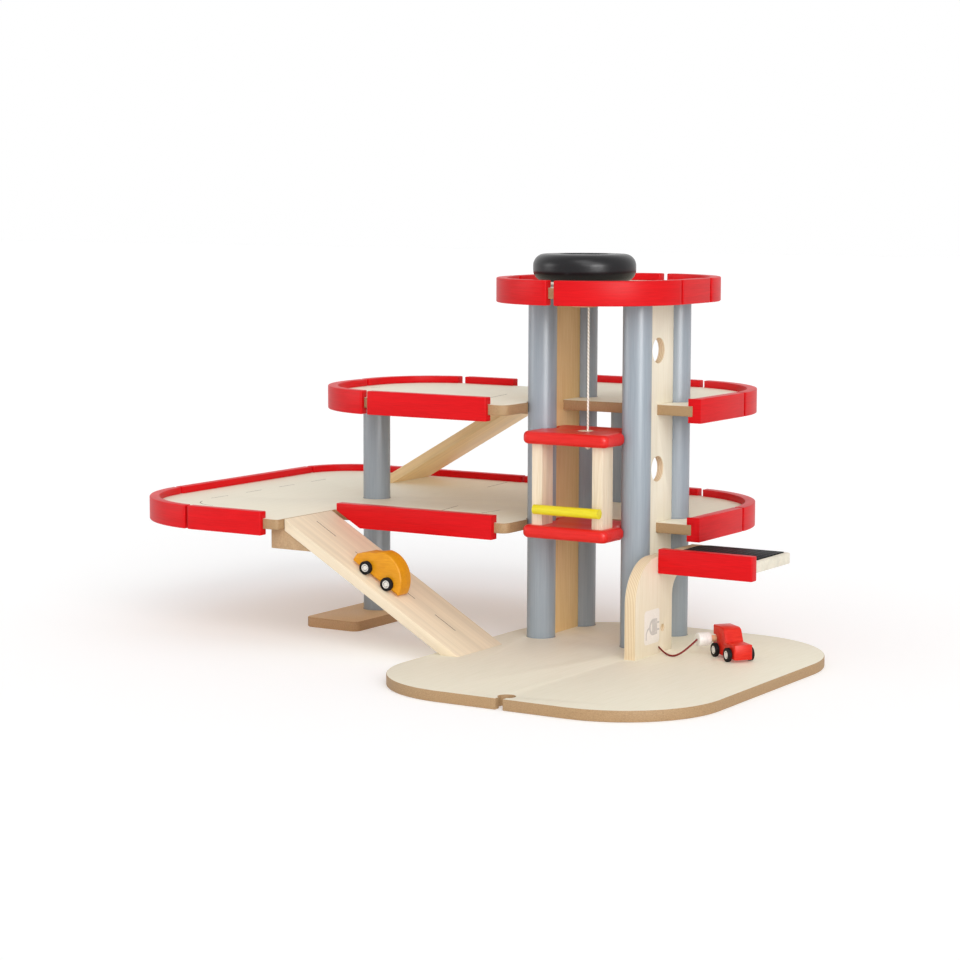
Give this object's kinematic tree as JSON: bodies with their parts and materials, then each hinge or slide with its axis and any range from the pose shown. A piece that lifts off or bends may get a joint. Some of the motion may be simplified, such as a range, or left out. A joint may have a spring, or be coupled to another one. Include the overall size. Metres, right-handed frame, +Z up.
{
  "type": "toy parking garage with lift",
  "caption": "Wooden toy parking garage: three storeys round a hand-wound cord lift, two ramps, red rims, a charging bay with solar roof and plug, and toy cars",
  "frame": {"origin": "centre of the base board's underside, on the floor", "axes": "+X to the right along the front edge, +Y to the back, +Z up"},
  "size_m": [0.6404, 0.4848, 0.3455],
  "materials": {
    "mdf": "sanded",
    "ply": "sanded",
    "beech": "sanded",
    "grey_paint": "satin lacquer",
    "red_paint": "matt lacquer",
    "red_gloss": "satin lacquer",
    "yellow_paint": "satin lacquer",
    "amber_paint": "satin lacquer",
    "black_rubber": "matt",
    "cream_cord": "woven",
    "white_paint": "satin lacquer",
    "solar_sheet": "gloss",
    "wine_cord": "matt"
  },
  "bodies": {
    "structure": {"base_board": "mdf", "foot_board": "mdf", "deck_1": "mdf", "deck_2": "mdf", "roof_board": "mdf", "pillar_front_left": "grey_paint", "pillar_front_right": "grey_paint", "pillar_back_left": "grey_paint", "pillar_back_right": "grey_paint", "pillar_deck_lower": "grey_paint", "pillar_deck_upper": "grey_paint", "pillar_rear": "grey_paint", "panel_left": "ply", "panel_right": "ply", "ramp_lower": "beech", "ramp_upper": "beech", "ramp_blocks": "ply", "deck_1_rim_left_end": "red_paint", "deck_1_rim_front_left": "red_paint", "deck_1_rim_front": "red_paint", "deck_1_rims_back": "red_paint", "deck_1_rims_right": "red_paint", "deck_2_rim_left_end": "red_paint", "deck_2_rim_front": "red_paint", "deck_2_rims_back": "red_paint", "deck_2_rims_right": "red_paint", "roof_rims_curved": "red_paint", "roof_rims_straight": "red_paint", "spindle_boss": "beech", "cord_lead": "cream_cord", "lift_cord": "cream_cord", "charger_board": "ply", "canopy_board": "ply", "canopy_fascia": "red_paint", "solar_panel": "solar_sheet", "ev_cord": "wine_cord", "ev_plug": "white_paint", "ev_plug_pin": "beech"},
    "lift": {"lift_floor": "red_gloss", "lift_top": "red_gloss", "lift_posts": "ply", "lift_disc": "ply", "barrier_pin": "ply", "cord_tail": "cream_cord"},
    "barrier": {"lift_barrier": "yellow_paint"},
    "knob": {"knob_tyre": "black_rubber", "knob_cap": "ply", "spindle": "white_paint", "cord_drum": "beech", "cord_turns": "cream_cord"},
    "yellow_car": {"yellow_car_body": "amber_paint"},
    "yellow_front_wheels": {"yellow_front_tyres": "black_rubber", "yellow_front_axle": "white_paint"},
    "yellow_rear_wheels": {"yellow_rear_tyres": "black_rubber", "yellow_rear_axle": "white_paint"},
    "red_car": {"red_car_body": "red_gloss"},
    "red_front_wheels": {"red_front_tyres": "black_rubber", "red_front_axle": "white_paint"},
    "red_rear_wheels": {"red_rear_tyres": "black_rubber", "red_rear_axle": "white_paint"}
  },
  "joints": [
    {"name": "knob_turn", "type": "hinge", "parent": "structure", "child": "knob", "pos_m": [-0.06475, 0.0618, 0.33], "axis": [0, 0, 1], "range_deg": [-885.3, 966.5]},
    {"name": "lift_slide", "type": "slide", "parent": "structure", "child": "lift", "axis": [0, 0, 1], "range_m": [-0.09301, 0.10151], "deforming": ["lift_cord"]},
    {"name": "barrier_hinge", "type": "hinge", "parent": "lift", "child": "barrier", "pos_m": [-0.09125, 0.02915, 0.1274], "axis": [0, -1, 0], "range_deg": [0, 55]},
    {"name": "yellow_car_roll", "type": "slide", "parent": "structure", "child": "yellow_car", "axis": [-0.8652, 0, 0.5015], "range_m": [-0.076, 0.062]},
    {"name": "red_car_roll", "type": "slide", "parent": "structure", "child": "red_car", "axis": [0.7815, -0.6239, 0], "range_m": [0, 0.055]},
    {"name": "yellow_front_axle_turn", "type": "hinge", "parent": "yellow_car", "child": "yellow_front_wheels", "pos_m": [-0.22067, -0.0313, 0.07516], "axis": [0, -1, 0], "range_deg": [-727.7, 594.1]},
    {"name": "yellow_rear_axle_turn", "type": "hinge", "parent": "yellow_car", "child": "yellow_rear_wheels", "pos_m": [-0.19904, -0.0313, 0.06262], "axis": [0, -1, 0], "range_deg": [-727.7, 594.1]},
    {"name": "red_front_axle_turn", "type": "hinge", "parent": "red_car", "child": "red_front_wheels", "pos_m": [0.08767, 0.0585, 0.015], "axis": [0.6239, 0.7815, 0], "range_deg": [0, 527.2]},
    {"name": "red_rear_axle_turn", "type": "hinge", "parent": "red_car", "child": "red_rear_wheels", "pos_m": [0.06813, 0.0741, 0.015], "axis": [0.6239, 0.7815, 0], "range_deg": [0, 527.2]}
  ],
  "couplings": [
    {"joint": "lift_slide", "follows": "knob_turn", "m_per_rad": 0.006},
    {"joint": "yellow_front_axle_turn", "follows": "yellow_car_roll", "rad_per_m": 166.67},
    {"joint": "yellow_rear_axle_turn", "follows": "yellow_car_roll", "rad_per_m": 166.67},
    {"joint": "red_front_axle_turn", "follows": "red_car_roll", "rad_per_m": 166.67},
    {"joint": "red_rear_axle_turn", "follows": "red_car_roll", "rad_per_m": 166.67}
  ]
}
